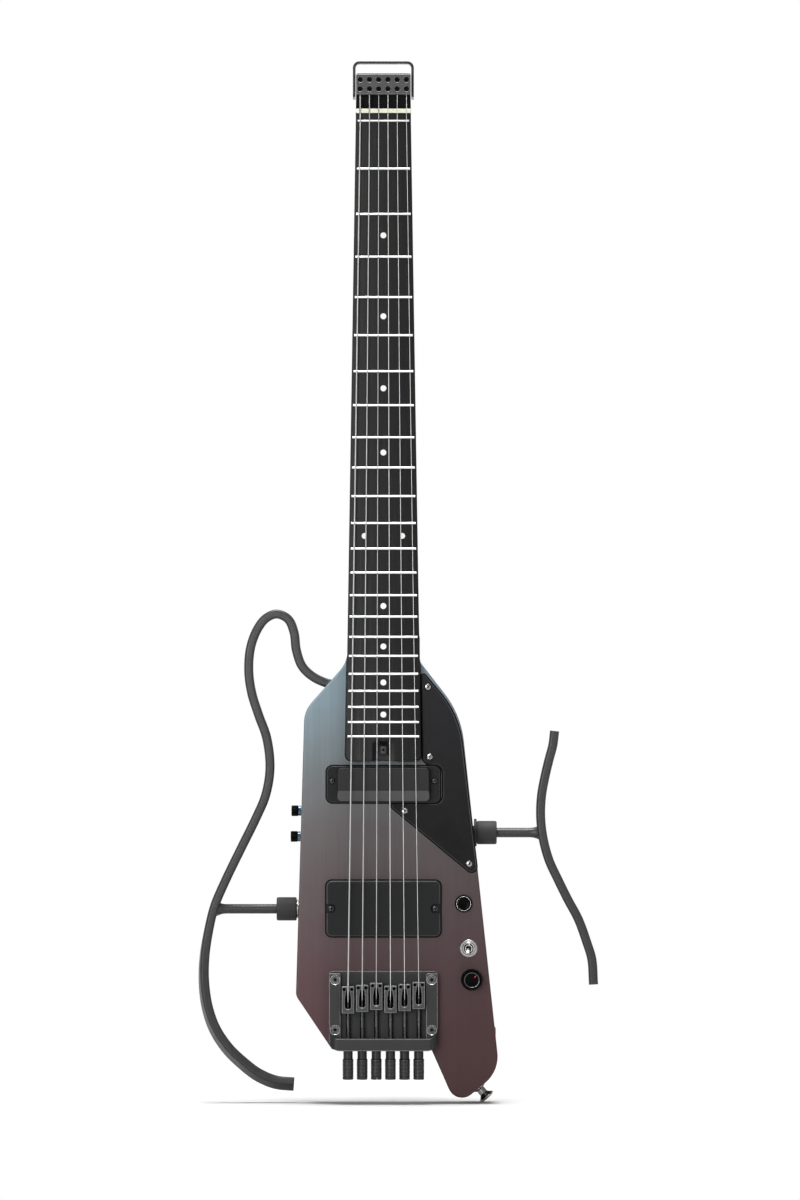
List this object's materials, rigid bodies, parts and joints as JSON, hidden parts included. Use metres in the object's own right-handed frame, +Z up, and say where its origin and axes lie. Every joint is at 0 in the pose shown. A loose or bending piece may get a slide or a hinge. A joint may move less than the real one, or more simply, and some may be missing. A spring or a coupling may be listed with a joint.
{
  "type": "travel guitar",
  "caption": "Headless short-bodied electric travel guitar: long fretted neck, slab body, two removable curved support arms and a screw-tuned bridge.",
  "frame": {"origin": "middle of the underside of the head bail's bar, where the guitar hangs", "axes": "+Z up along the neck from the body to the head, the strings face -Y, and the low string is on the -X side"},
  "size_m": [0.3041, 0.0668, 0.7899],
  "materials": {
    "body_wood": "satin lacquer, brushed grain, fading from blue-grey to brown",
    "neck_wood": "satin black",
    "board_wood": "dark streaked, oiled, with metal frets",
    "cream_nut": "polished",
    "black_hardware": "satin black",
    "rough_black": "rough black",
    "arm_metal": "matte black coated",
    "black_plastic": "satin",
    "gloss_plastic": "gloss",
    "chrome": "polished",
    "steel": "brushed",
    "string_steel": "drawn wire, the lower ones wound",
    "circuit_board": "satin green",
    "battery": "foil"
  },
  "bodies": {
    "instrument": {"body": "body_wood", "neck": "neck_wood", "fingerboard": "board_wood", "truss_rod": "steel", "nut": "cream_nut", "head_block": "black_hardware", "head_bail": "black_hardware", "bridge_base": "black_hardware", "string_1": "string_steel", "string_2": "string_steel", "string_3": "string_steel", "string_4": "string_steel", "string_5": "string_steel", "string_6": "string_steel", "pickguard": "black_plastic", "neck_pickup_ring": "black_plastic", "neck_pickup_cover": "black_plastic", "bridge_pickup_cover": "black_plastic", "mode_bezel": "gloss_plastic", "mode_switch": "black_plastic", "toggle_switch": "chrome", "volume_pot": "steel", "side_pot_upper": "chrome", "side_pot_lower": "chrome", "control_cover": "black_plastic", "circuit_board": "circuit_board", "battery": "battery", "output_jack": "chrome", "strap_button_lower": "chrome", "strap_button_back": "chrome", "neck_screw_1": "steel", "neck_screw_2": "steel", "neck_screw_3": "steel", "neck_screw_4": "steel", "socket_left": "steel", "socket_right": "rough_black"},
    "tuner_screw_1": {"tuner_screw_1": "black_hardware"},
    "tuner_screw_2": {"tuner_screw_2": "black_hardware"},
    "tuner_screw_3": {"tuner_screw_3": "black_hardware"},
    "tuner_screw_4": {"tuner_screw_4": "black_hardware"},
    "tuner_screw_5": {"tuner_screw_5": "black_hardware"},
    "tuner_screw_6": {"tuner_screw_6": "black_hardware"},
    "saddle_1": {"saddle_1": "black_hardware"},
    "saddle_2": {"saddle_2": "black_hardware"},
    "saddle_3": {"saddle_3": "black_hardware"},
    "saddle_4": {"saddle_4": "black_hardware"},
    "saddle_5": {"saddle_5": "black_hardware"},
    "saddle_6": {"saddle_6": "black_hardware"},
    "truss_rod_wheel": {"truss_rod_wheel": "black_hardware"},
    "mode_button": {"mode_button": "gloss_plastic"},
    "toggle_lever": {"toggle_lever": "chrome"},
    "volume_knob": {"volume_knob": "gloss_plastic"},
    "side_knob_upper": {"side_knob_upper": "gloss_plastic"},
    "side_knob_lower": {"side_knob_lower": "gloss_plastic"},
    "arm_left": {"arm_left": "arm_metal"},
    "collar_left": {"collar_left": "rough_black"},
    "arm_right": {"arm_right": "arm_metal"},
    "collar_right": {"collar_right": "rough_black"}
  },
  "joints": [
    {"name": "tuner_1_turn", "type": "hinge", "parent": "instrument", "child": "tuner_screw_1", "pos_m": [-0.02675, -0.0035, -0.7473], "axis": [0, 0, 1], "range_deg": [-2161, 4321]},
    {"name": "tuner_2_turn", "type": "hinge", "parent": "instrument", "child": "tuner_screw_2", "pos_m": [-0.01605, -0.0035, -0.7473], "axis": [0, 0, 1], "range_deg": [-2161, 4321]},
    {"name": "tuner_3_turn", "type": "hinge", "parent": "instrument", "child": "tuner_screw_3", "pos_m": [-0.00535, -0.0035, -0.7473], "axis": [0, 0, 1], "range_deg": [-2161, 4321]},
    {"name": "tuner_4_turn", "type": "hinge", "parent": "instrument", "child": "tuner_screw_4", "pos_m": [0.00535, -0.0035, -0.7473], "axis": [0, 0, 1], "range_deg": [-2161, 4321]},
    {"name": "tuner_5_turn", "type": "hinge", "parent": "instrument", "child": "tuner_screw_5", "pos_m": [0.01605, -0.0035, -0.7473], "axis": [0, 0, 1], "range_deg": [-2161, 4321]},
    {"name": "tuner_6_turn", "type": "hinge", "parent": "instrument", "child": "tuner_screw_6", "pos_m": [0.02675, -0.0035, -0.7473], "axis": [0, 0, 1], "range_deg": [-2161, 4321]},
    {"name": "saddle_1_slide", "type": "slide", "parent": "instrument", "child": "saddle_1", "axis": [0, 0, -1], "range_m": [-0.0042, 0.0084], "deforming": ["string_1"]},
    {"name": "saddle_2_slide", "type": "slide", "parent": "instrument", "child": "saddle_2", "axis": [0, 0, -1], "range_m": [-0.0042, 0.0084], "deforming": ["string_2"]},
    {"name": "saddle_3_slide", "type": "slide", "parent": "instrument", "child": "saddle_3", "axis": [0, 0, -1], "range_m": [-0.0042, 0.0084], "deforming": ["string_3"]},
    {"name": "saddle_4_slide", "type": "slide", "parent": "instrument", "child": "saddle_4", "axis": [0, 0, -1], "range_m": [-0.0042, 0.0084], "deforming": ["string_4"]},
    {"name": "saddle_5_slide", "type": "slide", "parent": "instrument", "child": "saddle_5", "axis": [0, 0, -1], "range_m": [-0.0042, 0.0084], "deforming": ["string_5"]},
    {"name": "saddle_6_slide", "type": "slide", "parent": "instrument", "child": "saddle_6", "axis": [0, 0, -1], "range_m": [-0.0042, 0.0084], "deforming": ["string_6"]},
    {"name": "truss_turn", "type": "hinge", "parent": "instrument", "child": "truss_rod_wheel", "pos_m": [0, 0.00415, -0.519], "axis": [0, 0, 1], "range_deg": [-360, 360]},
    {"name": "volume_turn", "type": "hinge", "parent": "instrument", "child": "volume_knob", "pos_m": [0.0669, -0.005, -0.69351], "axis": [0, 1, 0], "range_deg": [-195, 105]},
    {"name": "mode_press", "type": "slide", "parent": "instrument", "child": "mode_button", "axis": [0, 1, 0], "range_m": [0, 0.0025], "stiffness_N_per_m": 500, "springref_m": -0.002},
    {"name": "toggle_throw", "type": "hinge", "parent": "instrument", "child": "toggle_lever", "pos_m": [0.06458, 0.002, -0.67001], "axis": [-0.9397, 0, 0.342], "range_deg": [0, 26]},
    {"name": "side_upper_turn", "type": "hinge", "parent": "instrument", "child": "side_knob_upper", "pos_m": [-0.066, 0.023, -0.56608], "axis": [-1, 0, 0], "range_deg": [-140, 140]},
    {"name": "side_lower_turn", "type": "hinge", "parent": "instrument", "child": "side_knob_lower", "pos_m": [-0.066, 0.023, -0.58561], "axis": [-1, 0, 0], "range_deg": [-140, 140]},
    {"name": "arm_left_pull", "type": "slide", "parent": "instrument", "child": "arm_left", "axis": [-1, 0, 0], "range_m": [0, 0.04]},
    {"name": "collar_left_spin", "type": "hinge", "parent": "arm_left", "child": "collar_left", "pos_m": [-0.073, 0.023, -0.64064], "axis": [-1, 0, 0], "continuous": true},
    {"name": "arm_right_pull", "type": "slide", "parent": "instrument", "child": "arm_right", "axis": [1, 0, 0], "range_m": [0, 0.04]},
    {"name": "collar_right_spin", "type": "hinge", "parent": "arm_right", "child": "collar_right", "pos_m": [0.078, 0.023, -0.58268], "axis": [1, 0, 0], "continuous": true}
  ],
  "couplings": [
    {"joint": "tuner_1_turn", "follows": "saddle_1_slide", "rad_per_m": 8976},
    {"joint": "tuner_2_turn", "follows": "saddle_2_slide", "rad_per_m": 8976},
    {"joint": "tuner_3_turn", "follows": "saddle_3_slide", "rad_per_m": 8976},
    {"joint": "tuner_4_turn", "follows": "saddle_4_slide", "rad_per_m": 8976},
    {"joint": "tuner_5_turn", "follows": "saddle_5_slide", "rad_per_m": 8976},
    {"joint": "tuner_6_turn", "follows": "saddle_6_slide", "rad_per_m": 8976}
  ]
}
